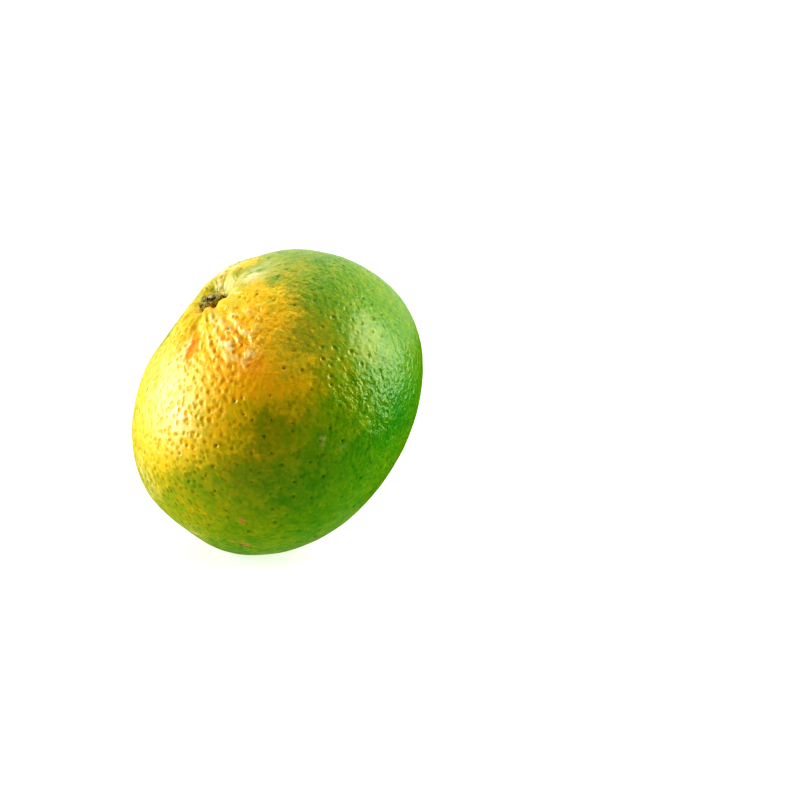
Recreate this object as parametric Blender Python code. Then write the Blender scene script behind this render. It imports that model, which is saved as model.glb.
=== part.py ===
"""An arrayana mandarin, as picked, lying on a small flat spot with its stem end leaning to one side.

The fruit is one solid. Its rind is a round surface whose distance from the centre is a formula: a flattened
body, folds that run out from the stem, a few dents and swellings, a stem basin with a flat seat in it, and a
shallow dimple at the blossom end. The calyx, the stalk's small button, sits on the seat.

Metres, +Z up. The origin is the middle of the flat spot. The side that shows best faces -Y.
Places on the rind are given from the stem: an angle down from it, and a longitude round it. Longitude 0 is
the side that the stem leans to, and 90 is towards -Y.
"""

import math

import bmesh
import bpy
from mathutils import Matrix, Vector, noise

MM = 0.001

# Driving dimensions
EQUATOR_DIAMETER = 67.0 * MM
SHORT_DIAMETER = 53.5 * MM
FULLNESS = 2.15  # 2 is a plain ellipse, and more fills out the shoulders
SHORT_AXIS_LEAN = 20.0  # degrees between the stem and the axis that the fruit is flattened along
SHORT_AXIS_LONGITUDE = -5.0

# How the fruit lies
STEM_TILT = 31.5  # degrees from upright
STEM_HEADING = 198.5  # degrees from +X, the way that the stem leans
FLAT_DEPTH = 0.9 * MM  # how far the weight has pressed the underside flat

# The seat: the flat floor of the stem basin, which the calyx sits on
SEAT_DISTANCE = 24.4 * MM  # from the fruit's centre, along the stem's axis
SEAT_SPREAD = 10.0  # degrees from the stem to the middle of the basin's wall
SEAT_LEAN = 13.0  # degrees between the stem's axis and the way that the seat faces
SEAT_LONGITUDE = 140.0
COLLAR_HEIGHT = 0.5 * MM
COLLAR_ANGLE = 18.0
COLLAR_SPREAD = 7.0

# Blossom end
BLOSSOM_DEPTH = 1.0 * MM
BLOSSOM_SPREAD = 11.0

# Folds that run out from the stem: longitude, height in mm (a furrow is negative), half-width in degrees of
# longitude, and how far from the stem they reach, in degrees
FOLDS = (
    (14, -0.6, 12, 26),
    (49, -1.1, 9, 40),
    (66, 0.7, 7, 40),
    (80, -0.8, 8, 34),
    (93, 0.5, 7, 30),
    (108, -0.5, 8, 36),
    (128, 0.5, 10, 36),
    (165, -1.0, 17, 38),
    (209, -0.7, 9, 44),
    (247, -0.2, 10, 34),
    (285, -0.5, 10, 36),
    (326, -0.5, 11, 32),
)
FOLD_START = 5.0  # degrees from the stem where a fold starts
FOLD_RISE = 9.0  # degrees over which it reaches its height

# Swellings and dents: longitude, angle from the stem, height in mm (a dent is negative), and spread in
# degrees
SWELLINGS = (
    (49, 24, -0.9, 6),
    (118, 11, -1.3, 9),
    (-85, 20, -0.4, 7),
    (-48, 31, -2.0, 13),
    (-143, 26, 0.5, 8),
    (-172, 55, -0.3, 14),
    (172, 88, 0.45, 13),
    (140, 150, -0.4, 12),
    (155, 124, -0.5, 24),
    (-2, 110, -2.3, 10),
    (-4, 152, 0.5, 11),
)

# The slow unevenness of the whole rind
UNEVENNESS = 0.25 * MM
UNEVENNESS_SIZE = 14.0 * MM

# Calyx
CALYX_RADIUS = 2.9 * MM
CALYX_LOBES = 5
CALYX_LOBE_SHARE = 0.13  # how much a lobe stands out past the mean radius
CALYX_THICKNESS = 0.9 * MM
CALYX_GAP = 0.3 * MM  # between the calyx and the basin under it
STALK_RADIUS = 1.1 * MM
STALK_HEIGHT = 0.8 * MM

# Colours, linear red, green and blue
RIND_COLOUR = (0.55, 0.52, 0.04)
RIND_ROUGHNESS = 0.38
CALYX_COLOUR = (0.16, 0.17, 0.05)
CALYX_ROUGHNESS = 0.75

# Mesh density
SEGMENTS = 84
RINGS = 50
RING_CROWDING = 1.3  # over 1 brings the rings closer together at the stem
CALYX_SEGMENTS = 40


def direction(longitude, angle):
    """The unit vector at a longitude and an angle from the stem, in degrees, in the fruit's own axes."""
    turn = math.radians(longitude)
    down = math.radians(angle)
    return Vector((math.sin(down) * math.cos(turn), math.sin(down) * math.sin(turn), math.cos(down)))


def bell(distance, spread):
    """1 in the middle, falling smoothly to nothing beyond about twice the spread."""
    return math.exp(-((distance / spread) ** 2))


def plateau(distance, spread):
    """1 over a flat middle, falling steeply round the spread."""
    return math.exp(-((distance / spread) ** 4))


def smooth_step(value):
    """0 below 0, 1 above 1, and a smooth rise between."""
    held = min(max(value, 0.0), 1.0)
    return held * held * (3.0 - 2.0 * held)


def degrees_between(first, second):
    """The angle between two vectors."""
    return math.degrees(first.angle(second, 0.0))


def flattened_body(towards):
    """Distance from the centre to the plain flattened body."""
    short_axis = direction(SHORT_AXIS_LONGITUDE, SHORT_AXIS_LEAN)
    along = abs(towards.dot(short_axis))
    across = math.sqrt(max(0.0, 1.0 - along * along))
    reach = (2.0 * along / SHORT_DIAMETER) ** FULLNESS + (2.0 * across / EQUATOR_DIAMETER) ** FULLNESS
    return reach ** (-1.0 / FULLNESS)


def seat_distance(towards):
    """Distance from the centre to the flat seat under the calyx."""
    facing = direction(SEAT_LONGITUDE, SEAT_LEAN)
    return SEAT_DISTANCE * facing.z / towards.dot(facing)


def fold_height(longitude, angle):
    """Height of the folds that run out from the stem."""
    height = 0.0
    for middle, tallest, half_width, reach in FOLDS:
        aside = (longitude - middle + 180.0) % 360.0 - 180.0
        opening = smooth_step((angle - FOLD_START) / FOLD_RISE)
        closing = 1.0 - smooth_step((angle - 0.4 * reach) / (0.6 * reach))
        height += tallest * MM * bell(aside, half_width) * opening * closing
    return height


def swelling_height(towards):
    """Height of the swellings and dents."""
    height = 0.0
    for longitude, angle, tallest, spread in SWELLINGS:
        aside = degrees_between(towards, direction(longitude, angle))
        height += tallest * MM * bell(aside, spread)
    return height


def rind_point(longitude, angle):
    """The point on the rind at a longitude and an angle from the stem, in the fruit's own axes."""
    towards = direction(longitude, angle)
    radius = flattened_body(towards)
    radius += UNEVENNESS * noise.noise(towards * radius / UNEVENNESS_SIZE)
    radius += fold_height(longitude, angle)
    radius += swelling_height(towards)
    radius += COLLAR_HEIGHT * bell(angle - COLLAR_ANGLE, COLLAR_SPREAD)
    radius -= BLOSSOM_DEPTH * bell(180.0 - angle, BLOSSOM_SPREAD)
    if angle < 3.0 * SEAT_SPREAD:
        radius += (seat_distance(towards) - radius) * plateau(angle, SEAT_SPREAD)
    return towards * radius


def lying_pose():
    """Turns the fruit's own axes, stem up, to the way that it lies."""
    heading = Matrix.Rotation(math.radians(STEM_HEADING), 4, "Z")
    return heading @ Matrix.Rotation(math.radians(STEM_TILT), 4, "Y")


def add_material(thing, name, colour, roughness):
    """Gives an object a plain material."""
    material = bpy.data.materials.new(name)
    material.use_nodes = True
    surface = material.node_tree.nodes["Principled BSDF"]
    surface.inputs["Base Color"].default_value = (*colour, 1.0)
    surface.inputs["Roughness"].default_value = roughness
    surface.inputs["Metallic"].default_value = 0.0
    material.diffuse_color = (*colour, 1.0)
    thing.data.materials.append(material)


def object_from(bm, name, collection, parent):
    """Makes a smooth-shaded object of a mesh, with its faces turned outwards."""
    bmesh.ops.recalc_face_normals(bm, faces=bm.faces)
    mesh = bpy.data.meshes.new(name)
    bm.to_mesh(mesh)
    bm.free()
    mesh.shade_smooth()
    made = bpy.data.objects.new(name, mesh)
    collection.objects.link(made)
    made.parent = parent
    return made


def shaped_rind():
    """A UV sphere, poles at the stem and the blossom end, with each vertex moved out to the rind."""
    bm = bmesh.new()
    bmesh.ops.create_uvsphere(bm, u_segments=SEGMENTS, v_segments=RINGS, radius=1.0)
    for vertex in bm.verts:
        share = vertex.co.angle(Vector((0.0, 0.0, 1.0)), 0.0) / math.pi
        angle = 180.0 * share**RING_CROWDING
        longitude = math.degrees(math.atan2(vertex.co.y, vertex.co.x))
        vertex.co = rind_point(longitude, angle)
    return bm


def press_flat(bm, pose):
    """Cuts the flat spot that the fruit lies on, and returns its middle, in the fruit's lying axes."""
    lowest = min((pose @ vertex.co).z for vertex in bm.verts)
    level = Vector((0.0, 0.0, lowest + FLAT_DEPTH))
    back = pose.inverted()
    cut = bmesh.ops.bisect_plane(
        bm,
        geom=bm.verts[:] + bm.edges[:] + bm.faces[:],
        dist=1e-6,
        plane_co=back @ level,
        plane_no=back.to_3x3() @ Vector((0.0, 0.0, 1.0)),
        clear_inner=True,
    )
    rim = [piece for piece in cut["geom_cut"] if isinstance(piece, bmesh.types.BMEdge)]
    flat = bmesh.ops.contextual_create(bm, geom=rim)["faces"][0]
    return pose @ flat.calc_center_median_weighted()


def make_fruit(collection, holder):
    """The whole fruit, and the place and turn of the stem's axis, which it hangs from."""
    bm = shaped_rind()
    pose = lying_pose()
    middle = press_flat(bm, pose)
    fruit = object_from(bm, "fruit", collection, holder)
    add_material(fruit, "rind", RIND_COLOUR, RIND_ROUGHNESS)
    holder.matrix_world = Matrix.Translation(-middle) @ pose


def basin_height(distance, longitude):
    """Height along the stem's axis of the rind, at a distance out from that axis."""
    angle = 0.0
    for _ in range(6):
        height = rind_point(longitude, angle).z
        angle = math.degrees(math.atan2(distance, height))
    return height


def calyx_profile():
    """(share of the edge's radius, height over the underside), from the stalk's end out, down and back."""
    stalk = STALK_RADIUS / CALYX_RADIUS
    return (
        (0.0, STALK_HEIGHT + CALYX_THICKNESS),
        (0.75 * stalk, STALK_HEIGHT + CALYX_THICKNESS),
        (stalk, STALK_HEIGHT + 0.75 * CALYX_THICKNESS),
        (1.1 * stalk, 1.2 * CALYX_THICKNESS),
        (1.5 * stalk, CALYX_THICKNESS),
        (0.85, 0.9 * CALYX_THICKNESS),
        (1.0, 0.5 * CALYX_THICKNESS),
        (0.9, 0.0),
        (0.5, 0.0),
        (0.0, 0.0),
    )


def calyx_point(share, turn, height):
    """The place of a point of the turned profile, moved out to the lobed edge and down on to the basin."""
    flare = CALYX_LOBE_SHARE * smooth_step(2.0 * share - 1.0)
    distance = share * CALYX_RADIUS * (1.0 + flare * math.cos(CALYX_LOBES * turn))
    floor = basin_height(distance, math.degrees(turn)) + CALYX_GAP
    return Vector((distance * math.cos(turn), distance * math.sin(turn), floor + height))


def make_calyx(collection, holder):
    """A lobed button with the stalk's cut end on it, whose underside follows the basin."""
    bm = bmesh.new()
    profile = [bm.verts.new((share, 0.0, height)) for share, height in calyx_profile()]
    line = [bm.edges.new(pair) for pair in zip(profile, profile[1:])]
    bmesh.ops.spin(
        bm,
        geom=profile + line,
        cent=(0.0, 0.0, 0.0),
        axis=(0.0, 0.0, 1.0),
        angle=2.0 * math.pi,
        steps=CALYX_SEGMENTS,
        use_merge=True,
    )
    bmesh.ops.remove_doubles(bm, verts=bm.verts, dist=1e-6)
    for vertex in bm.verts:
        share = math.hypot(vertex.co.x, vertex.co.y)
        turn = math.atan2(vertex.co.y, vertex.co.x)
        vertex.co = calyx_point(share, turn, vertex.co.z)
    calyx = object_from(bm, "calyx", collection, holder)
    add_material(calyx, "calyx", CALYX_COLOUR, CALYX_ROUGHNESS)


def main():
    """Clears the scene and makes both pieces, hung from an empty on the stem's axis."""
    for thing in list(bpy.data.objects):
        bpy.data.objects.remove(thing)
    collection = bpy.data.collections.new("arrayana_mandarin")
    bpy.context.scene.collection.children.link(collection)
    holder = bpy.data.objects.new("stem_axis", None)
    collection.objects.link(holder)
    make_fruit(collection, holder)
    make_calyx(collection, holder)


main()
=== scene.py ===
"""The looks of an arrayana mandarin: its pitted rind, its dry calyx, and a plain studio.

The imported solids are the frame. The rind is a fine round grid laid on the fruit's solid, with its oil glands
and wrinkles pressed into the mesh, and the calyx is a finer lobed button in the place of the plain one.

Metres, +Z up. Places on the rind are given from the stem: an angle down from it, and a longitude round it.
Longitude 0 is the side that the stem leans to, and 90 is towards -Y.
"""

import math
import random

import bmesh
import bpy
from bpy.props import FloatProperty, FloatVectorProperty, IntProperty, PointerProperty
from mathutils import Matrix, Vector, kdtree, noise
from mathutils.bvhtree import BVHTree
import numpy as np


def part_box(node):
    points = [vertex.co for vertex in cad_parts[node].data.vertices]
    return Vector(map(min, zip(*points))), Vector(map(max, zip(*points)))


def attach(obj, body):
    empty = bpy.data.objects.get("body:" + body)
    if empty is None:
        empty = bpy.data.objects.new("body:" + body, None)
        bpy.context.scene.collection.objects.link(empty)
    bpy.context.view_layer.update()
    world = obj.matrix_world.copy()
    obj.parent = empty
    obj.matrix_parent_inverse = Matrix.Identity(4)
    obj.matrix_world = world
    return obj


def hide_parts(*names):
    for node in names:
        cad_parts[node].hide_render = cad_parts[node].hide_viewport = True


bl_info = {
    "name": "Arrayana Mandarin",
    "version": (1, 0, 0),
    "blender": (4, 5, 0),
    "location": "3D View > Sidebar > Mandarin",
    "description": "Builds the rind, the calyx and the studio of an arrayana mandarin",
    "category": "Add Mesh",
}

MM = 0.001

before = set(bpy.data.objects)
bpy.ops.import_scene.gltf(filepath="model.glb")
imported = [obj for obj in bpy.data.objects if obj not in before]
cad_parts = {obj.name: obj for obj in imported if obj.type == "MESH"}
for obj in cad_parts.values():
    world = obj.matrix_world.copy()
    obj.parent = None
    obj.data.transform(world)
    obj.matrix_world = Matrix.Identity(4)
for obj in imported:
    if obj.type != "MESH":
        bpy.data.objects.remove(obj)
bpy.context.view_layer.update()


def middle_of(node):
    """The middle of a node's box."""
    low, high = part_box(node)
    return (low + high) / 2.0


# The fruit's own axes
CENTRE = middle_of("fruit")
STEM = (middle_of("calyx") - CENTRE).normalized()
LEAN = (Vector((0.0, 0.0, -1.0)) + STEM * STEM.z).normalized()  # towards longitude 0
ACROSS = STEM.cross(LEAN)  # towards longitude 90

# How ripe the rind is, from 0, deep green, to 1, orange. One side of the fruit hung in the sun and turned
# first: its middle, how far the ripe cap reaches and over how many degrees it fades into the green
SUNNY_SIDE = (42, 40)
CAP_REACH = 57.0
CAP_FADE = 10.0
RIPE = 0.80
UNRIPE = 0.25

# Places that are riper or greener than that: longitude, angle, change in ripeness, spread in degrees
RIPER_PLACES = (
    (78, 44, 0.12, 14),  # golden front of the shoulder
    (107, 44, 0.08, 9),  # right end of the shoulder
    (130, 53, -0.12, 9),  # green shade beyond it
    (72, 62, 0.04, 8),  # golden edge of the coarse rind
    (80, 37, 0.14, 8),  # orange valleys of the crumpled rind
    (82, 52, 0.12, 8),  # orange below them
    (88, 67, 0.13, 12),  # golden band down the middle of the front
    (78, 75, -0.16, 7),  # olive shade at its foot
    (49, 30, 0.32, 5),  # orange dent below the stem
    (47, 36, 0.30, 5),  # lower end of the dent
    (118, 31, 0.12, 7),  # golden ridge at the edge of the stem basin
    (-175, 23, 0.34, 5),  # orange crease in the far rim of the basin
    (20, 106, 0.04, 12),  # yellow turn of the underside
    (150, 20, -0.26, 9),  # pale green valley behind the calyx
    (131, 34, -0.26, 4),  # green notch in the golden ridge
    (-150, 20, 0.10, 9),  # golden far rim
    (60, 88, -0.16, 14),  # green shade of the lower front
    (40, 85, -0.19, 10),  # left part of that shade
    (20, 88, -0.12, 8),  # left edge of that shade
    (84, 92, -0.07, 10),  # right part of that shade
    (98, 60, -0.10, 6),  # olive patch on the shoulder
    (122, 60, -0.10, 9),  # green above the sheen
    (120, 78, 0.04, 8),  # yellower green under the sheen
    (121, 102, -0.22, 15),  # deep green flank
    (88, 108, -0.10, 18),  # green below the flank
)

# Where the rind is bleached or its bloom lies thick, and where painted highlight lies on it: the haze of the
# lit side and of the crests, and small dents. From 0 to 1: longitude, angle, paleness, spread. Crests of the
# folds are paler than that, with more painted highlight, and valleys are not pale at all
PALE_AND_HIGHLIT_PLACES = (
    (26, 44, 0.66, 17),  # lemon side of the shoulder
    (38, 60, 0.80, 11),  # crests of the coarse rind
    (6, 82, 0.45, 10),  # lemon side below it
    (18, 106, 0.30, 5),  # paler edge of the underside
    (64, 30, 1.0, 6),  # crest between the dent and the furrow
    (37, 32, 0.95, 6),  # crest on the other side of the dent
    (82, 36, 0.62, 9),  # crests at the front of the shoulder
    (80, 49, 0.50, 6),  # crests below those
    (88, 91, 0.40, 1),  # painted highlights on small dents in the lower front
    (87, 93, 0.40, 1),
    (92, 98, 0.35, 1),
    (-140, 19, 0.80, 9),  # far rim of the basin
    (150, 19, 0.62, 10),  # valley behind the calyx
)

# Where the rind is coarse, with wide deep glands, from 0 to 1: longitude, angle, coarseness, spread
COARSENESS = (
    (45, 66, 1.0, 17),  # widest pits, at the left of the front
    (20, 60, 0.7, 24),  # lemon side
    (26, 40, 0.25, 10),  # smoother shoulder above it
    (66, 48, 0.8, 10),  # coarse rind below the stem
    (88, 42, 0.50, 10),  # crumpled rind
    (98, 60, 0.30, 13),  # right side of the golden band
    (60, 94, 0.10, 16),  # smooth lower front
    (100, 90, 0.10, 26),  # middle of the front, low down
    (130, 90, 0.3, 26),  # sheen and flank
    (150, 30, 0.05, 16),  # smooth skin behind the calyx
    (-60, 60, 0.7, 30),  # far side of the coarse rind
    (-150, 80, 0.3, 40),  # back
    (0, 150, 0.25, 40),  # blossom end
)

# How finely creased the skin is, from 0, smooth, to 1: longitude, angle, creasing, spread
CREASING = (
    (88, 40, 0.8, 12),  # crumpled rind below the stem
    (60, 44, 0.35, 16),  # top of the coarse rind
    (36, 60, 0.15, 20),  # coarse rind, smooth between its glands
    (60, 92, 0.10, 18),  # smooth lower front
    (88, 84, 0.20, 14),  # foot of the golden band
    (100, 68, 0.30, 10),  # right side of that band
    (124, 68, 0.05, 12),  # smooth top of the sheen
    (104, 84, 1.0, 6),  # ripples at the left edge of the sheen
    (124, 94, 0.9, 9),  # ripples at the foot of the sheen
    (116, 108, 0.9, 12),  # flank below it
    (142, 50, 0.85, 18),  # right side of the shoulder
    (150, 18, 0.10, 14),  # smooth valley behind the calyx
    (-170, 80, 0.8, 30),  # back
    (-60, 70, 0.4, 30),  # far side of the coarse rind
    (0, 150, 0.4, 40),  # blossom end
)

# The orange dent below the stem, a chain of hollows: longitude, angle, radius
ORANGE_DENT = (
    (51, 27, 0.8 * MM),
    (50, 30, 1.4 * MM),
    (49, 33, 1.7 * MM),
    (47, 36, 1.4 * MM),
)

# Corky scars: longitude, angle, spread in degrees
SCARS = (
    (47, 104, 1.8),  # a healed scratch on the lower front
    (37, 116, 2.4),  # and one below it
    (34, 113, 1.4),
    (0, 180, 1.7),  # where the flower's style stood, at the blossom end
)

# Each place of a table is felt a little however far away it is, so that no spot is left without a value
FAR_WEIGHT = 1e-4
SMALLEST_WEIGHT = 1e-9

# The fruit's solid, smoothed, and the round grid that is laid on it: where its cells are drawn together, by
# how much, and how often its vertices are evened out
MERGE_DISTANCE = 0.001 * MM
SMOOTHING_LEVELS = 2
FINEST_AT = (60, 62)
FINEST_PULL = 0.38
EVENING_PASSES = 2

# Oil glands. They stand in an even pattern, where each takes this share of its spacing squared, and stray
# from it by a share of the spacing. Radius and sinking are given on smooth rind, then what coarse rind adds,
# then what it adds by luck. Sinking is a share of the settings' gland depth.
GLAND_SEED = 11
HEXAGON_AREA = 0.866
GLAND_STRAY = 0.42
GLAND_RADIUS = (0.44 * MM, 0.14 * MM, 0.22 * MM)
GLAND_SINKING = (0.10, 0.55, 0.35)
DENT_SINKING = 1.5
GLAND_SEARCH = 2.0 * MM  # how far off the middles of glands are looked for
GLAND_STRETCH = 0.7  # how much longer than wide glands are at the stem
STRETCH_SPREAD = 40.0  # over how many degrees from the stem that fades

# Folds that run out from the stem. They rise and fade by their angle from it, and weaken away from one side
FOLDS_START = 6.0
FOLDS_RISE = 5.0
FOLDS_FADE_FROM = 20.0
FOLDS_FADE = 26.0
LOOSE_SIDE = 60.0  # the longitude where they are strongest
LOOSE_SPREAD = 62.0
FOLDS_ELSEWHERE = 0.12  # what is left of them on the far side

# The crumpled rind below the stem: its longitude and angle, and its spread in degrees
CRUMPLED_AT = (86.0, 38.0)
ARC_A_DEGREE = 0.62  # degrees of arc in a degree of longitude there
CRUMPLED_SPREAD = 16.0

# Relief in the mesh. The rind is set in a little, so that its highest folds stay in the solid's box
FOLD_HEIGHT = 0.40 * MM
CRUMPLE_HEIGHT = 0.50 * MM
SWELL_SIZE = 5.0 * MM
SWELL_HEIGHT = 0.07 * MM
RIPPLE_SIZE = 1.5 * MM
RIPPLE_HEIGHT = 0.07 * MM
INSET = 0.06 * MM
BLEACH_AND_HIGHLIGHT_HEIGHT = 0.09375 * MM  # the height of a fold that doubles how pale its crest is, with its painted highlight

# What the rind's material reads at each vertex
RIND_LAYERS = ("ripeness", "coarseness", "pale_and_highlit", "creasing", "gland", "scar")

# Clouds that break up the ripening: size, detail, how far each changes the ripeness
MOTTLING = (
    (8.0 * MM, 3.0, 0.24),  # patches
    (2.6 * MM, 2.5, 0.36),  # mottling
    (0.9 * MM, 1.5, 0.32),  # flecks
)
RIPER_AND_SHADED_IN_GLANDS = 0.05  # how much riper the rind looks in its deepest glands: partly their own colour, partly painted shade
RAMP_SHARE = 0.8  # how far along the colours a ripeness of 1 is

# The skin: its finest relief, gloss and lines
GRAIN_ON_SMOOTH = 0.15  # what is left of the skin grain where the rind is smooth
SMOOTH_ROUGHNESS = 0.22
COARSE_ROUGHNESS = 0.26  # added where the rind is coarsest
# How dark the painted shade in the pin-point hollows is
PIN_POINT_SHADE_STRENGTH = 0.85
STEM_LINE_LENGTH = 45.0 * MM  # over which the lines from the stem change

# The calyx. Shares are of its reach
CALYX_REACH = 1.06  # of the solid's half width
CALYX_RINGS = 48
CALYX_STEPS = 150
STALK = 0.36  # share at which the cut stalk ends and the lobes start
CALYX_BRIM = 0.84  # share at which the flat dome starts to fall to its edge
LOBE_NOTCH = 0.20  # depth of the notches between the lobes, as a share
LOBE_UNEVENNESS = 0.9  # how far the lobes crowd to one side, in radians of the lobes' wave
CALYX_FOLDS = 0.35 * MM  # height of its dry folds
CALYX_BEDDING = 0.1 * MM  # how deep its edge is bedded in the rind
CALYX_BLOTCHES = 0.9  # how far its blotches shift the rings of colour

# The camera: its lens and sensor in millimetres, the picture's width and the fruit's middle in it in
# pixels, and that middle in the frame
LENS = 100.0
SENSOR_WIDTH = 36.0
PICTURE = 800
FRUIT_AT = Vector((277.2, 401.1))
FRUIT_MIDDLE = Vector((4.488, 1.069, 30.896)) * MM

# The floor, and the black tube and card that stand behind the fruit and to its right
FLOOR_HALF_SIZE = 6.0
TUBE_RADIUS = 0.033
TUBE_HEIGHT = 0.045
TUBE_AT = (0.052, 0.054)
CARD_SIZE = (0.14, 0.26)
CARD_AT = (0.098, 0.125, 0.001)


def linear(colour):
    """The linear red, green and blue of an sRGB hex colour."""
    shares = [int(colour[start : start + 2], 16) / 255.0 for start in (0, 2, 4)]
    return tuple(share / 12.92 if share <= 0.04045 else ((share + 0.055) / 1.055) ** 2.4 for share in shares)


# Fixed colours: tints over the rind's own colour, partly painted shade in its glands, small dark marks, which
# are painted shade apart from the cracks, and the studio's
GREEN_OIL_AND_SHADE = (*linear("C4CE95"), 1.0)  # over the glands of green rind: their oil's colour and painted shade in the pits
RIPE_OIL_AND_SHADE = (*linear("FFF7A0"), 1.0)  # over the glands of ripe rind: their oil's colour and painted shade in the pits
PIN_POINT_SHADE = (*linear("95956F"), 1.0)  # painted shade in the pin-point hollows
CREVICE_SHADE = (*linear("3F2712"), 1.0)  # painted shade in the crevice round the calyx
CRACK = (*linear("593F27"), 1.0)  # in a corky scar
BLACK_CARD = (*linear("0D1D07"), 1.0)
WHITE = (*linear("FFFFFF"), 1.0)


def length_property(name, description, default):
    """A length in metres."""
    return FloatProperty(
        name=name, description=description, default=default, min=0.0, unit="LENGTH", precision=5
    )


def colour_property(name, description, default):
    """A colour, whose default is an sRGB hex value."""
    return FloatVectorProperty(name=name, description=description, default=linear(default), subtype="COLOR")


def power_property(name, description, default):
    """A light's power in watts."""
    return FloatProperty(name=name, description=description, default=default, min=0.0, unit="POWER")


class MandarinRindSettings(bpy.types.PropertyGroup):
    """The rind's sizes and colours."""

    cells: IntProperty(
        name="Cells", description="Cells along each side of the round grid's six patches", default=128, min=16
    )
    gland_spacing: length_property("Gland spacing", "From one oil gland to the next", 2.0 * MM)
    gland_depth: length_property("Gland depth", "How deep the widest glands have sunk", 0.19 * MM)
    deep_green: colour_property("Deep green", "The least ripe rind", "3C8A0A")
    leaf_green: colour_property("Leaf green", "Green rind that has started to turn", "6B9A10")
    yellow_green: colour_property("Yellow green", "Rind half way from green to yellow", "92A810")
    olive_gold: colour_property("Olive gold", "Rind that is more yellow than green", "B4AE12")
    yellow: colour_property("Yellow", "Ripe yellow rind", "DCC41C")
    gold: colour_property("Gold", "The golden rind near the stem", "F2C612")
    orange: colour_property("Orange", "Rind that has turned orange", "FAC00E")
    deep_orange: colour_property("Deep orange", "The ripest rind, in the dent below the stem", "F6A60A")
    # Cream is bleached rind and painted highlight on the crests and the lit side
    cream_and_highlight: colour_property("Cream", "Bleached rind", "FAE6AC")
    cork: colour_property("Cork", "Healed scars", "C8925A")


class MandarinCalyxSettings(bpy.types.PropertyGroup):
    """The calyx's sizes and colours."""

    lobes: IntProperty(name="Lobes", description="Lobes round the calyx", default=5, min=3)
    thickness: length_property("Thickness", "From the underside of the calyx to its top", 2.1 * MM)
    stalk_height: length_property("Stalk height", "How far the cut stalk stands over the calyx", 0.5 * MM)
    olive: colour_property("Olive", "The dry green of the lobes", "B4B048")
    brown: colour_property("Brown", "The dark brown of the creases and the edge", "5C3C14")
    straw: colour_property("Straw", "The cut end of the stalk and the thin pale folds", "E8DCA8")


class MandarinStageSettings(bpy.types.PropertyGroup):
    """The camera, the floor and the lights."""

    camera_distance: length_property("Camera distance", "From the camera to the fruit", 0.4636)
    camera_height: FloatProperty(
        name="Camera height",
        description="How far the camera looks down",
        default=math.radians(12.0),
        unit="ROTATION",
    )
    key_power: power_property("Key power", "Light from the left, low and wide", 130.0)
    window_power: power_property("Window power", "Light from the right, which makes the sheen", 118.0)
    bounce_power: power_property("Bounce power", "Light that the floor throws back", 6.4)
    overhead_strength: FloatProperty(
        name="Overhead strength", description="Light from straight above", default=0.60, min=0.0
    )
    backdrop_strength: FloatProperty(
        name="Backdrop strength", description="Light from behind the fruit", default=0.66, min=0.0
    )
    floor_colour: colour_property("Floor colour", "The white table", "A8A8A8")


def towards(longitude, angle):
    """The unit vector from the fruit's centre to a place on the rind, in degrees from the stem."""
    turn = math.radians(longitude)
    down = math.radians(angle)
    aside = LEAN * math.cos(turn) + ACROSS * math.sin(turn)
    return STEM * math.cos(down) + aside * math.sin(down)


def place_of(outwards):
    """The longitude and the angle from the stem of a unit vector, in degrees."""
    longitude = math.degrees(math.atan2(outwards.dot(ACROSS), outwards.dot(LEAN)))
    return longitude, math.degrees(outwards.angle(STEM, 0.0))


def bell(distance, spread):
    """1 in the middle, falling smoothly to nothing beyond about twice the spread."""
    return math.exp(-((distance / spread) ** 2))


def smooth_step(value):
    """0 below 0, 1 above 1, and a smooth rise between."""
    held = min(max(value, 0.0), 1.0)
    return held * held * (3.0 - 2.0 * held)


def degrees_from(outwards, longitude, angle):
    """How far each of many unit vectors is from a place on the rind, in degrees."""
    return np.degrees(np.arccos(np.clip(outwards @ np.array(towards(longitude, angle)), -1.0, 1.0)))


def felt_from(outwards, longitude, angle, spread):
    """How strongly a place is felt at each of many unit vectors: 1 there, and fading as bell does."""
    return np.exp(-((degrees_from(outwards, longitude, angle) / spread) ** 2))


def blended(table, outwards):
    """The value at each of many unit vectors: a table's values, each weighed by how near its place is."""
    total = np.zeros(len(outwards))
    weights = np.full(len(outwards), SMALLEST_WEIGHT)
    for longitude, angle, value, spread in table:
        aside = degrees_from(outwards, longitude, angle)
        weight = felt_from(outwards, longitude, angle, spread) + FAR_WEIGHT / (1.0 + aside)
        total += weight * value
        weights += weight
    return total / weights


def ripeness_of(outwards):
    """How ripe the rind is at each of many unit vectors: the ripe cap, and the places that differ from it."""
    past_cap = (degrees_from(outwards, *SUNNY_SIDE) - CAP_REACH) / CAP_FADE
    ripe = UNRIPE + (RIPE - UNRIPE) / (1.0 + np.exp(past_cap))
    for longitude, angle, change, spread in RIPER_PLACES:
        ripe += change * felt_from(outwards, longitude, angle, spread)
    return ripe


def pale_and_highlit_of(outwards):
    """How pale the rind is at each of many unit vectors: partly bleached rind, partly painted highlight."""
    pale = np.zeros(len(outwards))
    for longitude, angle, amount, spread in PALE_AND_HIGHLIT_PLACES:
        pale = np.maximum(pale, amount * felt_from(outwards, longitude, angle, spread))
    return pale


def scarring_of(outwards):
    """How scarred the rind is at each of many unit vectors."""
    scar = np.zeros(len(outwards))
    for longitude, angle, spread in SCARS:
        scar = np.maximum(scar, felt_from(outwards, longitude, angle, spread))
    return scar


def placed(bm, name):
    """An object in the scene with the mesh of a bmesh, which is freed."""
    mesh = bpy.data.meshes.new(name)
    bm.to_mesh(mesh)
    bm.free()
    owner = bpy.data.objects.new(name, mesh)
    bpy.context.scene.collection.objects.link(owner)
    return owner


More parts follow.
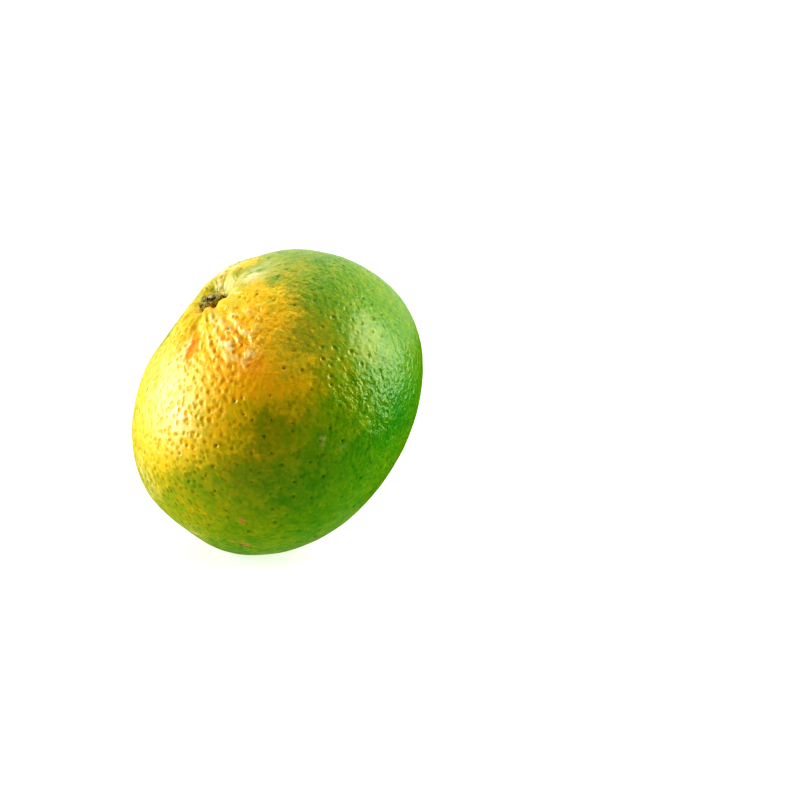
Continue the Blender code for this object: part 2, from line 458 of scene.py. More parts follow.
def finished(bm, name, slot, *nodes):
    """Makes a smooth-shaded piece of a mesh, which rides on the body and stands for CAD nodes."""
    bmesh.ops.recalc_face_normals(bm, faces=bm.faces)
    piece = placed(bm, name)
    piece.data.shade_smooth()
    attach(piece, "root")
    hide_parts(*nodes)
    return piece


def add_node(tree, kind, inputs=(), **settings):
    """Adds a node. An input is linked to a node's first output or to the output given, or else set."""
    node = tree.nodes.new(kind)
    for name, value in settings.items():
        setattr(node, name, value)
    for key, value in dict(inputs).items():
        source = value.outputs[0] if isinstance(value, bpy.types.Node) else value
        if isinstance(source, bpy.types.NodeSocket):
            tree.links.new(source, node.inputs[key])
        else:
            node.inputs[key].default_value = source
    return node


def new_material(name):
    """A material with an empty node tree."""
    material = bpy.data.materials.new(name)
    material.use_nodes = True
    material.node_tree.nodes.clear()
    return material


def fill_ramp(ramp, stops):
    """Sets a colour ramp's stops, each a position and a colour."""
    elements = ramp.color_ramp.elements
    while len(elements) < len(stops):
        elements.new(0.5)
    for element, (position, colour) in zip(elements, stops):
        element.position = position
        element.color = (*colour, 1.0)


def smoothed_fruit():
    """A search tree of the fruit's solid with its facets smoothed away."""
    bm = bmesh.new()
    bm.from_mesh(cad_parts["fruit"].data)
    bmesh.ops.remove_doubles(bm, verts=bm.verts, dist=MERGE_DISTANCE)
    bmesh.ops.join_triangles(bm, faces=bm.faces, angle_face_threshold=0.7, angle_shape_threshold=1.2)
    helper = placed(bm, "smoothed_fruit")
    smoothing = helper.modifiers.new("smoothing", "SUBSURF")
    smoothing.levels = SMOOTHING_LEVELS
    smoothing.render_levels = SMOOTHING_LEVELS
    tree = BVHTree.FromObject(helper, bpy.context.evaluated_depsgraph_get())
    mesh = helper.data
    bpy.data.objects.remove(helper)
    bpy.data.meshes.remove(mesh)
    return tree


def round_grid(cells):
    """A sphere of square cells, finest where the rind is coarse, with the stem on one of its six patches."""
    bm = bmesh.new()
    bmesh.ops.create_cube(bm, size=2.0)
    bmesh.ops.subdivide_edges(bm, edges=bm.edges, cuts=cells - 1, use_grid_fill=True)
    turned = Matrix((LEAN, ACROSS, STEM)).transposed()
    finest = towards(*FINEST_AT)
    for vertex in bm.verts:
        even = Vector([math.tan(share * math.pi / 4.0) for share in vertex.co])
        vertex.co = (turned @ even.normalized() + FINEST_PULL * finest).normalized()
    return bm


def laid_on_fruit(bm, tree):
    """Moves each vertex of the round grid out to the fruit's surface, and evens out its last facets."""
    for vertex in bm.verts:
        vertex.co = tree.ray_cast(CENTRE, vertex.co)[0]
    for _ in range(EVENING_PASSES):
        bmesh.ops.smooth_vert(
            bm, verts=bm.verts, factor=0.5, use_axis_x=True, use_axis_y=True, use_axis_z=True
        )
    bm.normal_update()


class Gland:
    """An oil gland: where it is, how wide and how deep it has sunk."""

    def __init__(self, where, radius, depth):
        self.where = where
        self.radius = radius
        self.depth = depth


def gland_directions(settings, draw):
    """Unit vectors on a golden spiral of even spacing, each moved at random."""
    low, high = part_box("fruit")
    mean_radius = sum(high - low) / 6.0
    count = int(4.0 * math.pi * mean_radius**2 / (HEXAGON_AREA * settings.gland_spacing**2))
    golden = math.pi * (3.0 - math.sqrt(5.0))
    stray = GLAND_STRAY * settings.gland_spacing / mean_radius
    found = []
    for number in range(count):
        height = 1.0 - (2.0 * number + 1.0) / count
        across = math.sqrt(1.0 - height * height)
        outwards = Vector((across * math.cos(golden * number), across * math.sin(golden * number), height))
        outwards += stray * Vector([draw.uniform(-1.0, 1.0) for _ in range(3)])
        found.append(outwards.normalized())
    return found


def scattered_glands(tree, settings):
    """Oil glands all over the rind, wider and deeper where it is coarse, and the orange dent."""
    draw = random.Random(GLAND_SEED)
    directions = gland_directions(settings, draw)
    glands = []
    for outwards, coarse in zip(directions, blended(COARSENESS, np.array(directions))):
        luck = draw.random()
        radius, depth = [
            on_smooth + (on_coarse + by_luck * luck) * coarse
            for on_smooth, on_coarse, by_luck in (GLAND_RADIUS, GLAND_SINKING)
        ]
        glands.append(Gland(tree.ray_cast(CENTRE, outwards)[0], radius, depth))
    for longitude, angle, radius in ORANGE_DENT:
        glands.append(Gland(tree.ray_cast(CENTRE, towards(longitude, angle))[0], radius, DENT_SINKING))
    return glands


def streaks(longitude, angle, round_stem, down_rind):
    """Noise in streaks that run out from the stem: how closely they stand round it, and how long they are."""
    turn = math.radians(longitude)
    return noise.noise(Vector((round_stem * math.cos(turn), round_stem * math.sin(turn), angle / down_rind)))


def stem_folds(longitude, angle):
    """Height, from -1 to 1, of the folds of loose rind that run out from the stem."""
    folds = streaks(longitude, angle, 5.0, 16.0) + 0.7 * streaks(longitude, angle, 12.0, 11.0)
    rise = smooth_step((angle - FOLDS_START) / FOLDS_RISE)
    fall = 1.0 - smooth_step((angle - FOLDS_FADE_FROM) / FOLDS_FADE)
    aside = ((longitude - LOOSE_SIDE + 180.0) % 360.0) - 180.0
    loose = FOLDS_ELSEWHERE + (1.0 - FOLDS_ELSEWHERE) * bell(aside, LOOSE_SPREAD)
    return folds * rise * fall * loose


def crumple(longitude, angle):
    """Height, from -1 to 1, of the short steep ridges where the rind has shrunk below the stem."""
    away = math.hypot((longitude - CRUMPLED_AT[0]) * ARC_A_DEGREE, angle - CRUMPLED_AT[1])
    return streaks(longitude, angle, 18.0, 7.0) * bell(away, CRUMPLED_SPREAD)


def gland_tree(glands):
    """A search tree of the glands' middles."""
    tree = kdtree.KDTree(len(glands))
    for number, gland in enumerate(glands):
        tree.insert(gland.where, number)
    tree.balance()
    return tree


def sunk_at(spot, down, stretch, glands, tree):
    """How deep a spot of the rind has sunk in its deepest gland. Glands are stretched away from the stem."""
    sunk = 0.0
    for where, number, _ in tree.find_range(spot, GLAND_SEARCH):
        gland = glands[number]
        offset = spot - where
        along = offset.dot(down)
        away = (offset.length_squared - along * along + (along / stretch) ** 2) / gland.radius**2
        if away < 1.0:
            sunk = max(sunk, gland.depth * smooth_step(1.0 - away))
    return sunk


def press_relief(bm, glands, settings):
    """Sinks the glands and the wrinkles into the rind, and keeps what the material reads at each vertex."""
    outwards_all = np.array([(vertex.co - CENTRE).normalized() for vertex in bm.verts])
    layers = [bm.verts.layers.float.new(name) for name in RIND_LAYERS]
    tree = gland_tree(glands)
    rows = zip(
        bm.verts,
        ripeness_of(outwards_all),
        blended(COARSENESS, outwards_all),
        pale_and_highlit_of(outwards_all),
        blended(CREASING, outwards_all),
        scarring_of(outwards_all),
    )
    moves = []
    for vertex, ripe, coarse, pale, creased, scar in rows:
        outwards = (vertex.co - CENTRE).normalized()
        longitude, angle = place_of(outwards)
        down = (outwards * outwards.dot(STEM) - STEM).normalized()
        stretch = 1.0 + GLAND_STRETCH * bell(angle, STRETCH_SPREAD)
        sunk = sunk_at(vertex.co, down, stretch, glands, tree)
        swell = noise.noise(vertex.co / SWELL_SIZE) * SWELL_HEIGHT
        ripple = noise.noise(vertex.co / RIPPLE_SIZE) * RIPPLE_HEIGHT * creased
        folds = stem_folds(longitude, angle) * FOLD_HEIGHT + crumple(longitude, angle) * CRUMPLE_HEIGHT
        moves.append(vertex.normal * (folds + swell + ripple - sunk * settings.gland_depth - INSET))
        # The higher a fold, the paler its crest: bleached rind and painted highlight
        crest_pale_and_highlit = min(max(pale * (1.0 + folds / BLEACH_AND_HIGHLIGHT_HEIGHT), 0.0), 1.0)
        for layer, value in zip(layers, (ripe, coarse, crest_pale_and_highlit, creased, sunk, scar)):
            vertex[layer] = value
    for vertex, move in zip(bm.verts, moves):
        vertex.co += move
        vertex.co.z = max(vertex.co.z, 0.0)


def ripe_mottling(tree, place, layers, settings):
    """The colour of the rind by how ripe it is, in patches, mottling and flecks of several sizes."""
    amount = add_node(
        tree,
        "ShaderNodeMath",
        {0: layers["gland"], 1: RIPER_AND_SHADED_IN_GLANDS, 2: layers["ripeness"]},
        operation="MULTIPLY_ADD",
    )
    for size, detail, strength in MOTTLING:
        cloud = add_node(tree, "ShaderNodeTexNoise", {"Vector": place, "Scale": 1.0 / size, "Detail": detail})
        centred = add_node(tree, "ShaderNodeMath", {0: cloud, 1: 0.5}, operation="SUBTRACT")
        amount = add_node(
            tree, "ShaderNodeMath", {0: centred, 1: strength, 2: amount}, operation="MULTIPLY_ADD"
        )
    amount = add_node(tree, "ShaderNodeMath", {0: amount, 1: RAMP_SHARE}, operation="MULTIPLY")
    ramp = add_node(tree, "ShaderNodeValToRGB", {"Fac": amount})
    fill_ramp(
        ramp,
        (
            (0.0, settings.deep_green),
            (0.20, settings.leaf_green),
            (0.34, settings.yellow_green),
            (0.46, settings.olive_gold),
            (0.56, settings.yellow),
            (0.66, settings.gold),
            (0.76, settings.orange),
            (0.92, settings.deep_orange),
        ),
    )
    return ramp


def bleached_highlit_crests_and_oily_shaded_glands(tree, place, layers, ramp, settings):
    """The crests between the glands bleached, with painted highlight, and the glands tinted golden where ripe
    and green elsewhere, partly by their oil and partly with painted shade.
    """
    pit = add_node(
        tree,
        "ShaderNodeMapRange",
        {"Value": layers["gland"], "From Min": 0.05, "From Max": 0.42},
        interpolation_type="SMOOTHSTEP",
    )
    cloud = add_node(tree, "ShaderNodeTexNoise", {"Vector": place, "Scale": 1.0 / (2.5 * MM), "Detail": 2.0})
    broken = add_node(tree, "ShaderNodeMapRange", {"Value": cloud, "From Min": 0.30, "From Max": 0.58})
    crest = add_node(tree, "ShaderNodeMath", {0: 1.0, 1: pit}, operation="SUBTRACT")
    pale_and_highlit = add_node(tree, "ShaderNodeMath", {0: layers["pale_and_highlit"], 1: broken}, operation="MULTIPLY")
    pale_and_highlit = add_node(tree, "ShaderNodeMath", {0: pale_and_highlit, 1: crest}, operation="MULTIPLY")
    # Cream over the crests: bleached rind and painted highlight
    bleached_and_highlit = add_node(
        tree, "ShaderNodeMix", {0: pale_and_highlit, 6: ramp, 7: (*settings.cream_and_highlight, 1.0)}, data_type="RGBA"
    )
    # Tint in the glands: partly their oil's own colour, partly painted shade in the pits
    oil_and_shade = add_node(
        tree, "ShaderNodeMix", {0: layers["ripeness"], 6: GREEN_OIL_AND_SHADE, 7: RIPE_OIL_AND_SHADE}, data_type="RGBA"
    )
    return add_node(
        tree,
        "ShaderNodeMix",
        {0: pit, 6: bleached_and_highlit.outputs[2], 7: oil_and_shade.outputs[2]},
        data_type="RGBA",
        blend_type="MULTIPLY",
    ).outputs[2]


def with_scars(tree, place, layers, colour, settings):
    """The colour with corky scars, broken up by a cloud of 0.6 mm, which have dark cracks in them."""
    cloud = add_node(tree, "ShaderNodeTexNoise", {"Vector": place, "Scale": 1.0 / (0.6 * MM), "Detail": 2.0})
    ragged = add_node(tree, "ShaderNodeMath", {0: layers["scar"], 1: cloud}, operation="MULTIPLY")
    cork = add_node(
        tree, "ShaderNodeMapRange", {"Value": ragged, "From Min": 0.20, "From Max": 0.42, "To Max": 0.75}
    )
    corky = add_node(
        tree, "ShaderNodeMix", {0: cork, 6: colour, 7: (*settings.cork, 1.0)}, data_type="RGBA"
    )
    crack = add_node(
        tree, "ShaderNodeMapRange", {"Value": ragged, "From Min": 0.48, "From Max": 0.56, "To Max": 0.6}
    )
    return add_node(
        tree, "ShaderNodeMix", {0: crack, 6: corky.outputs[2], 7: CRACK}, data_type="RGBA"
    ).outputs[2]


def lines_from_stem(tree, place):
    """Fine lines that run out from the calyx and fade, and the distance from the stem's axis."""
    centred = add_node(tree, "ShaderNodeVectorMath", {0: place, 1: CENTRE}, operation="SUBTRACT")
    along_lean, along_across = [
        add_node(tree, "ShaderNodeVectorMath", {0: centred, 1: axis}, operation="DOT_PRODUCT")
        for axis in (LEAN, ACROSS)
    ]
    flat = add_node(
        tree,
        "ShaderNodeCombineXYZ",
        {"X": along_lean.outputs["Value"], "Y": along_across.outputs["Value"]},
    )
    off_axis = add_node(tree, "ShaderNodeVectorMath", {0: flat}, operation="LENGTH").outputs["Value"]
    around = add_node(tree, "ShaderNodeVectorMath", {0: flat}, operation="NORMALIZE")
    rise = add_node(tree, "ShaderNodeMath", {0: off_axis, 1: STEM_LINE_LENGTH}, operation="DIVIDE")
    along = add_node(tree, "ShaderNodeCombineXYZ", {"Z": rise})
    line_place = add_node(tree, "ShaderNodeVectorMath", {0: around, 1: along}, operation="ADD")
    lines = add_node(tree, "ShaderNodeTexNoise", {"Vector": line_place, "Scale": 11.0, "Detail": 3.0})
    near_stem = add_node(
        tree,
        "ShaderNodeMapRange",
        {"Value": off_axis, "From Min": 3.0 * MM, "From Max": 11.0 * MM, "To Min": 1.0, "To Max": 0.0},
        interpolation_type="SMOOTHSTEP",
    )
    return add_node(tree, "ShaderNodeMath", {0: lines, 1: near_stem}, operation="MULTIPLY"), off_axis


def with_crevice_shade(tree, off_axis, colour):
    """The colour with painted shade, dark brown, in the crevice round the calyx."""
    # Painted shade in the crevice round the calyx
    crevice_shade_mask = add_node(
        tree,
        "ShaderNodeMapRange",
        {"Value": off_axis, "From Min": 2.6 * MM, "From Max": 3.5 * MM, "To Min": 0.9, "To Max": 0.0},
    )
    return add_node(
        tree, "ShaderNodeMix", {0: crevice_shade_mask, 6: colour, 7: CREVICE_SHADE}, data_type="RGBA"
    ).outputs[2]


def with_shaded_pin_points(tree, place, colour):
    """The colour with painted shade in pin-point glands, and their hollows.

    They stand about 3 mm apart, where a slice through cells of points meets one.
    """
    pores = add_node(tree, "ShaderNodeTexVoronoi", {"Vector": place, "Scale": 1.0 / (1.9 * MM)})
    luck = add_node(tree, "ShaderNodeSeparateXYZ", {"Vector": pores.outputs["Color"]})
    hollow, core = [
        add_node(
            tree,
            "ShaderNodeMapRange",
            {"Value": pores, "From Min": rim, "From Max": middle, "To Min": 0.0, "To Max": luck},
            interpolation_type="SMOOTHSTEP",
        )
        for rim, middle in ((0.36, 0.10), (0.20, 0.08))
    ]
    # Painted shade in the middle of each pin-point hollow
    dark = add_node(tree, "ShaderNodeMath", {0: core, 1: PIN_POINT_SHADE_STRENGTH}, operation="MULTIPLY")
    dotted = add_node(
        tree,
        "ShaderNodeMix",
        {0: dark, 6: colour, 7: PIN_POINT_SHADE},
        data_type="RGBA",
        blend_type="MULTIPLY",
    )
    return dotted.outputs[2], hollow


def skin_relief(tree, place, creased, grain, stem_lines, hollow):
    """The relief, from fine to coarse: grain, close dimples, ripples, folds, stem lines and pin-points."""
    dimples = add_node(
        tree, "ShaderNodeTexVoronoi", {"Vector": place, "Scale": 1.0 / (1.0 * MM)}, feature="SMOOTH_F1"
    )
    ripples = add_node(
        tree,
        "ShaderNodeTexWave",
        {"Vector": place, "Scale": 1.0 / (8.0 * MM), "Distortion": 14.0, "Detail": 2.0, "Detail Scale": 1.2},
    )
    folds = add_node(
        tree,
        "ShaderNodeTexNoise",
        {"Vector": place, "Scale": 1.0 / (2.2 * MM), "Detail": 1.0, "Distortion": 1.5},
    )
    pin_points = add_node(tree, "ShaderNodeMath", {0: hollow, 1: -1.0}, operation="MULTIPLY")
    normal = add_node(tree, "ShaderNodeBump", {"Height": grain, "Strength": creased, "Distance": 0.11 * MM})
    for height, depth, strength in (
        (dimples, 0.20 * MM, creased),
        (ripples, 0.09 * MM, creased),
        (folds, 0.30 * MM, creased),
        (stem_lines, 0.16 * MM, 1.0),
        (pin_points, 0.17 * MM, 1.0),
    ):
        normal = add_node(
            tree,
            "ShaderNodeBump",
            {"Height": height, "Strength": strength, "Distance": depth, "Normal": normal},
        )
    return normal


def waxy_citrus_rind(settings):
    """Citrus rind: a thin waxy skin over oil glands. Satin, with a broken sheen, mottled as it ripens."""
    material = new_material("waxy_citrus_rind")
    tree = material.node_tree
    place = add_node(tree, "ShaderNodeTexCoord").outputs["Object"]
    layers = {
        name: add_node(tree, "ShaderNodeAttribute", attribute_name=name).outputs["Fac"]
        for name in RIND_LAYERS
    }
    ramp = ripe_mottling(tree, place, layers, settings)
    colour = bleached_highlit_crests_and_oily_shaded_glands(tree, place, layers, ramp, settings)
    colour = with_scars(tree, place, layers, colour, settings)
    stem_lines, off_axis = lines_from_stem(tree, place)
    # Painted shade in the crevice round the calyx
    colour = with_crevice_shade(tree, off_axis, colour)
    colour, hollow = with_shaded_pin_points(tree, place, colour)

    # Skin grain of 0.4 mm, in the colour as in the relief, stronger where the skin is creased
    grain = add_node(tree, "ShaderNodeTexNoise", {"Vector": place, "Scale": 1.0 / (0.4 * MM), "Detail": 2.0})
    creased = add_node(
        tree,
        "ShaderNodeMath",
        {0: layers["creasing"], 1: 1.0 - GRAIN_ON_SMOOTH, 2: GRAIN_ON_SMOOTH},
        operation="MULTIPLY_ADD",
    )
    centred = add_node(tree, "ShaderNodeMath", {0: grain, 1: 0.5}, operation="SUBTRACT")
    shade = add_node(tree, "ShaderNodeMath", {0: centred, 1: creased, 2: 1.0}, operation="MULTIPLY_ADD")
    colour = add_node(tree, "ShaderNodeVectorMath", {0: colour, "Scale": shade}, operation="SCALE")

    roughness = add_node(
        tree,
        "ShaderNodeMath",
        {0: layers["coarseness"], 1: COARSE_ROUGHNESS, 2: SMOOTH_ROUGHNESS},
        operation="MULTIPLY_ADD",
    )
    skin = add_node(
        tree,
        "ShaderNodeBsdfPrincipled",
        {
            "Base Color": colour,
            "Roughness": roughness,
            "IOR": 1.45,
            "Subsurface Weight": 0.12,
            "Subsurface Radius": (1.0, 0.55, 0.12),
            "Subsurface Scale": 1.2 * MM,
            "Normal": skin_relief(tree, place, creased, grain, stem_lines, hollow),
        },
    )
    add_node(tree, "ShaderNodeOutputMaterial", {"Surface": skin})
    return material


class MANDARIN_OT_rind(bpy.types.Operator):
    """Lays the pitted rind on the fruit"""

    bl_idname = "mandarin.rind"
    bl_label = "Make the rind"

    def execute(self, context):
        settings = context.scene.mandarin_rind
        tree = smoothed_fruit()
        bm = round_grid(settings.cells)
        laid_on_fruit(bm, tree)
        press_relief(bm, scattered_glands(tree, settings), settings)
        rind = finished(bm, "mandarin_rind", "rind", "fruit")
        rind.data.materials.append(waxy_citrus_rind(settings))
        return {"FINISHED"}


def calyx_outline(settings, turn, share):
    """How far the lobed edge draws a place of the calyx in: not at all at the stalk, fully at the edge."""
    lobe = 0.5 + 0.5 * math.cos(settings.lobes * turn + LOBE_UNEVENNESS * math.sin(turn))
    edge = 1.0 - LOBE_NOTCH + LOBE_NOTCH * lobe**1.4
    return 1.0 + (edge - 1.0) * smooth_step((share - STALK) / (1.0 - STALK))


def calyx_height(settings, turn, share):
    """How high the calyx stands over the rind: a flat dome, a hollow stalk end and folds of dry tissue.

    The stalk's side falls from 0.8 to 1.15 of its radius, and its end is hollowed by a third of its height.
    """
    dome = settings.thickness * (1.0 - smooth_step((share - CALYX_BRIM) / (1.0 - CALYX_BRIM)))
    button = settings.stalk_height * (1.0 - smooth_step((share - 0.8 * STALK) / (0.35 * STALK)))
    hollow = 0.35 * settings.stalk_height * (1.0 - smooth_step(share / (0.7 * STALK)))
    folds = noise.noise(Vector((4.0 * math.cos(turn), 4.0 * math.sin(turn), 5.0 * share))) * CALYX_FOLDS
    folds *= smooth_step(share / STALK) * (1.0 - 0.5 * share)
    return dome + button - hollow + folds - CALYX_BEDDING


def dry_calyx(settings):
    """Dry plant tissue: a dull pale cut stalk in a brown ring, and crumpled olive lobes with brown edges."""
    material = new_material("dry_calyx")
    tree = material.node_tree
    place = add_node(tree, "ShaderNodeTexCoord").outputs["Object"]
    share = add_node(tree, "ShaderNodeAttribute", attribute_name="share").outputs["Fac"]
    blotches = add_node(
        tree, "ShaderNodeTexNoise", {"Vector": place, "Scale": 1.0 / (0.9 * MM), "Detail": 3.0}
    )
    centred = add_node(tree, "ShaderNodeMath", {0: blotches, 1: 0.5}, operation="SUBTRACT")
    outwards = add_node(
        tree, "ShaderNodeMath", {0: centred, 1: CALYX_BLOTCHES, 2: share}, operation="MULTIPLY_ADD"
    )
    ramp = add_node(tree, "ShaderNodeValToRGB", {"Fac": outwards})
    fill_ramp(
        ramp,
        (
            (0.14, settings.straw),
            (0.22, settings.brown),
            (0.40, settings.brown),
            (0.48, settings.olive),
            (0.84, settings.olive),
            (1.0, settings.brown),
        ),
    )
    edges = add_node(
        tree,
        "ShaderNodeTexVoronoi",
        {"Vector": place, "Scale": 1.0 / (1.2 * MM)},
        feature="DISTANCE_TO_EDGE",
    )
    fold = add_node(
        tree, "ShaderNodeMapRange", {"Value": edges, "From Min": 0.09, "From Max": 0.02, "To Max": 0.75}
    )
    colour = add_node(
        tree, "ShaderNodeMix", {0: fold, 6: ramp, 7: (*settings.straw, 1.0)}, data_type="RGBA"
    )
    grain = add_node(tree, "ShaderNodeTexNoise", {"Vector": place, "Scale": 1.0 / (0.25 * MM), "Detail": 4.0})
    bump = add_node(tree, "ShaderNodeBump", {"Height": grain, "Distance": 0.10 * MM})
    bump = add_node(tree, "ShaderNodeBump", {"Height": fold, "Distance": 0.20 * MM, "Normal": bump})
    tissue = add_node(
        tree,
        "ShaderNodeBsdfPrincipled",
        {"Base Color": colour.outputs[2], "Roughness": 0.7, "Normal": bump},
    )
    add_node(tree, "ShaderNodeOutputMaterial", {"Surface": tissue})
    return material


def calyx_disc():
    """A flat round disc of rings, one unit in radius, with its middle closed."""
    bm = bmesh.new()
    profile = [bm.verts.new((ring / CALYX_RINGS, 0.0, 0.0)) for ring in range(CALYX_RINGS + 1)]
    line = [bm.edges.new(pair) for pair in zip(profile, profile[1:])]
    bmesh.ops.spin(
        bm,
        geom=profile + line,
        cent=(0.0, 0.0, 0.0),
        axis=(0.0, 0.0, 1.0),
        angle=2.0 * math.pi,
        steps=CALYX_STEPS,
        use_merge=True,
    )
    bmesh.ops.remove_doubles(bm, verts=bm.verts, dist=MERGE_DISTANCE)
    return bm


class MANDARIN_OT_calyx(bpy.types.Operator):
    """Sets the dry calyx in the stem basin"""

    bl_idname = "mandarin.calyx"
    bl_label = "Make the calyx"

    def execute(self, context):
        settings = context.scene.mandarin_calyx
        rind = bpy.data.objects["mandarin_rind"]
        ground = BVHTree.FromObject(rind, context.evaluated_depsgraph_get())
        low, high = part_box("calyx")
        reach = CALYX_REACH * (high - low).y / 2.0
        over = middle_of("calyx") + STEM * 6.0 * MM
        bm = calyx_disc()
        share_layer = bm.verts.layers.float.new("share")
        for vertex in bm.verts:
            share = math.hypot(vertex.co.x, vertex.co.y)
            vertex[share_layer] = share
            turn = math.atan2(vertex.co.y, vertex.co.x)
            aside = LEAN * math.cos(turn) + ACROSS * math.sin(turn)
            distance = share * calyx_outline(settings, turn, share) * reach
            hit = ground.ray_cast(over + aside * distance, -STEM)[0]
            vertex.co = hit + STEM * calyx_height(settings, turn, share)
        piece = finished(bm, "mandarin_calyx", "calyx", "calyx")
        piece.data.materials.append(dry_calyx(settings))
        return {"FINISHED"}


def lit_table(settings):
    """A white acrylic table lit from below: matt, with a glow that leaves its shadows pale."""
    material = new_material("lit_white_acrylic")
    tree = material.node_tree
    sheet = add_node(
        tree,
        "ShaderNodeBsdfPrincipled",
        {
            "Base Color": (*settings.floor_colour, 1.0),
            "Roughness": 0.9,
            "Specular IOR Level": 0.2,
            "Emission Color": WHITE,
            "Emission Strength": 0.45,
        },
    )
    add_node(tree, "ShaderNodeOutputMaterial", {"Surface": sheet})
    return material


def make_camera(settings):
    """The camera at the photograph's angle, aimed so that the fruit stands where it does in the picture."""
    data = bpy.data.cameras.new("camera")
    data.lens = LENS
    data.sensor_width = SENSOR_WIDTH
    camera = bpy.data.objects.new("camera", data)
    bpy.context.scene.collection.objects.link(camera)
    height = settings.camera_height
    right = Vector((1.0, 0.0, 0.0))
    up = Vector((0.0, math.sin(height), math.cos(height)))
    back = Vector((0.0, -math.cos(height), math.sin(height)))
    metres_a_pixel = settings.camera_distance * SENSOR_WIDTH / (LENS * PICTURE)
    aim = FRUIT_MIDDLE + right * (PICTURE / 2 - FRUIT_AT.x) * metres_a_pixel
    aim -= up * (PICTURE / 2 - FRUIT_AT.y) * metres_a_pixel
    camera.matrix_world = Matrix.Translation(aim + back * settings.camera_distance) @ (
        Matrix((right, up, back)).transposed().to_4x4()
    )
    bpy.context.scene.camera = camera


def add_light(name, direction, distance, width, height, power):
    """A soft light that faces the fruit from a direction."""
    data = bpy.data.lights.new(name, "AREA")
    data.shape = "RECTANGLE"
    data.size = width
    data.size_y = height
    data.energy = power
    light = bpy.data.objects.new(name, data)
    bpy.context.scene.collection.objects.link(light)
    outwards = Vector(direction).normalized()
    light.visible_camera = False
    light.location = CENTRE + outwards * distance
    light.rotation_euler = outwards.to_track_quat("Z", "Y").to_euler()
    return light


def make_world(settings):
    """White light from straight above and from the backdrop, and little from the camera's side."""
    world = bpy.data.worlds.new("studio")
    world.use_nodes = True
    tree = world.node_tree
    tree.nodes.clear()
    direction = add_node(tree, "ShaderNodeTexCoord").outputs["Generated"]
    parts = add_node(tree, "ShaderNodeSeparateXYZ", {"Vector": direction})
    overhead = add_node(
        tree,
        "ShaderNodeMapRange",
        {
            "Value": parts.outputs["Z"],
            "From Min": 0.45,
            "From Max": 0.95,
            "To Max": settings.overhead_strength,
        },
        interpolation_type="SMOOTHSTEP",
    )
    backdrop = add_node(
        tree,
        "ShaderNodeMapRange",
        {
            "Value": parts.outputs["Y"],
            "From Min": 0.1,
            "From Max": 0.8,
            "To Min": 0.08,
            "To Max": settings.backdrop_strength,
        },
        interpolation_type="SMOOTHSTEP",
    )
    above_floor = add_node(
        tree,
        "ShaderNodeMapRange",
        {"Value": parts.outputs["Z"], "From Min": -0.25, "From Max": 0.0, "To Min": 0.25, "To Max": 1.0},
    )
    strength = add_node(
        tree, "ShaderNodeMath", {0: backdrop, 1: above_floor, 2: overhead}, operation="MULTIPLY_ADD"
    )
    sky = add_node(tree, "ShaderNodeBackground", {"Color": WHITE, "Strength": strength.outputs[0]})
    add_node(tree, "ShaderNodeOutputWorld", {"Surface": sky.outputs["Background"]})
    bpy.context.scene.world = world


def make_flag():
    """A short black tube on a black card, which only the gloss sees: they keep white off the far side."""
    bm = bmesh.new()
    tube = bmesh.ops.create_cone(
        bm, cap_ends=True, segments=64, radius1=TUBE_RADIUS, radius2=TUBE_RADIUS, depth=TUBE_HEIGHT
    )
    bmesh.ops.translate(bm, vec=(*TUBE_AT, TUBE_HEIGHT / 2.0), verts=tube["verts"])
    card = bmesh.ops.create_grid(bm, x_segments=1, y_segments=1, size=0.5)
    bmesh.ops.scale(bm, vec=(*CARD_SIZE, 1.0), verts=card["verts"])
    bmesh.ops.translate(bm, vec=CARD_AT, verts=card["verts"])
    flag = placed(bm, "flag")
    material = new_material("matt_black_card")
    tree = material.node_tree
    black = add_node(tree, "ShaderNodeBsdfPrincipled", {"Base Color": BLACK_CARD, "Roughness": 1.0})
    add_node(tree, "ShaderNodeOutputMaterial", {"Surface": black})
    flag.data.materials.append(material)
    flag.visible_camera = False
    flag.visible_diffuse = False
    flag.visible_shadow = False
    flag.visible_transmission = False


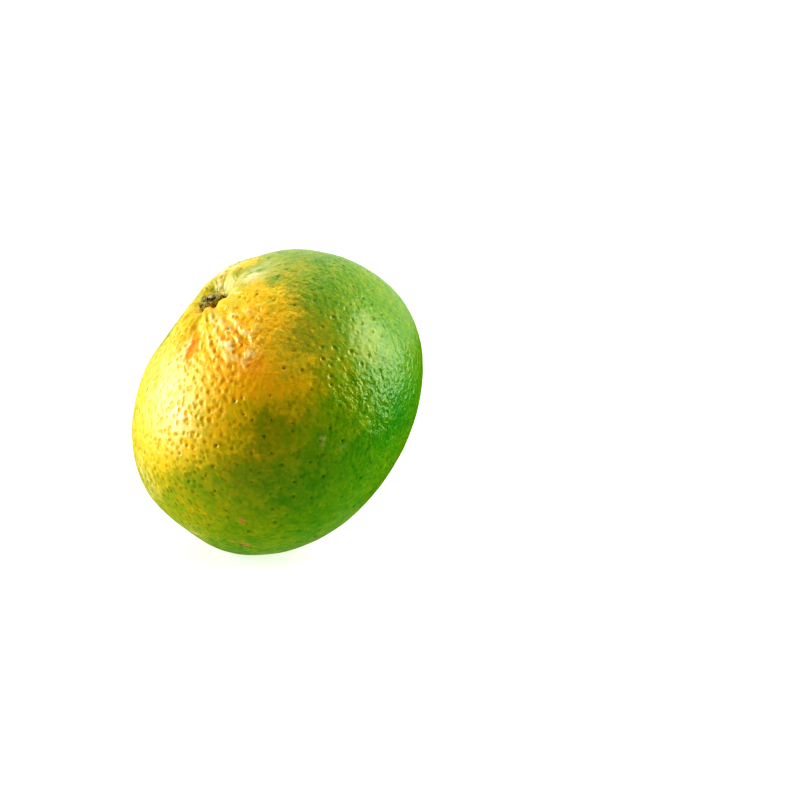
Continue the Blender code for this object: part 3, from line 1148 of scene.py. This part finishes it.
class MANDARIN_OT_stage(bpy.types.Operator):
    """Sets up the floor, the lights and the camera"""

    bl_idname = "mandarin.stage"
    bl_label = "Make the stage"

    def execute(self, context):
        settings = context.scene.mandarin_stage
        bm = bmesh.new()
        bmesh.ops.create_grid(bm, x_segments=1, y_segments=1, size=FLOOR_HALF_SIZE)
        floor = placed(bm, "floor")
        floor.data.materials.append(lit_table(settings))
        floor.visible_diffuse = False
        floor.visible_glossy = False
        floor.visible_shadow = False
        add_light("key", (-0.96, 0.16, 0.20), distance=4.0, width=2.3, height=2.3, power=settings.key_power)
        add_light(
            "window", (0.92, 0.12, 0.37), distance=3.6, width=2.6, height=3.6, power=settings.window_power
        )
        bounce = add_light(
            "bounce", (0.0, 0.0, -1.0), distance=0.33, width=1.4, height=1.4, power=settings.bounce_power
        )
        bounce.visible_glossy = False
        make_flag()
        make_world(settings)
        make_camera(settings)
        context.scene.view_settings.view_transform = "Standard"
        context.scene.view_settings.look = "Very High Contrast"
        return {"FINISHED"}


class MANDARIN_PT_panel(bpy.types.Panel):
    """The mandarin's settings and steps"""

    bl_idname = "MANDARIN_PT_panel"
    bl_label = "Mandarin"
    bl_space_type = "VIEW_3D"
    bl_region_type = "UI"
    bl_category = "Mandarin"

    def draw(self, context):
        for owner, operator in (
            (context.scene.mandarin_rind, MANDARIN_OT_rind),
            (context.scene.mandarin_calyx, MANDARIN_OT_calyx),
            (context.scene.mandarin_stage, MANDARIN_OT_stage),
        ):
            box = self.layout.box()
            for name in owner.__annotations__:
                box.prop(owner, name)
            box.operator(operator.bl_idname)


CLASSES = (
    MandarinRindSettings,
    MandarinCalyxSettings,
    MandarinStageSettings,
    MANDARIN_OT_rind,
    MANDARIN_OT_calyx,
    MANDARIN_OT_stage,
    MANDARIN_PT_panel,
)


def register():
    """Registers the classes and hangs their settings on the scene."""
    for kind in CLASSES:
        bpy.utils.register_class(kind)
    bpy.types.Scene.mandarin_rind = PointerProperty(type=MandarinRindSettings)
    bpy.types.Scene.mandarin_calyx = PointerProperty(type=MandarinCalyxSettings)
    bpy.types.Scene.mandarin_stage = PointerProperty(type=MandarinStageSettings)


def unregister():
    """Takes the settings off the scene and unregisters the classes."""
    del bpy.types.Scene.mandarin_stage
    del bpy.types.Scene.mandarin_calyx
    del bpy.types.Scene.mandarin_rind
    for kind in reversed(CLASSES):
        bpy.utils.unregister_class(kind)


def main():
    """Makes every piece and the stage."""
    register()
    bpy.ops.mandarin.rind()
    bpy.ops.mandarin.calyx()
    bpy.ops.mandarin.stage()


if __name__ == "__main__":
    main()
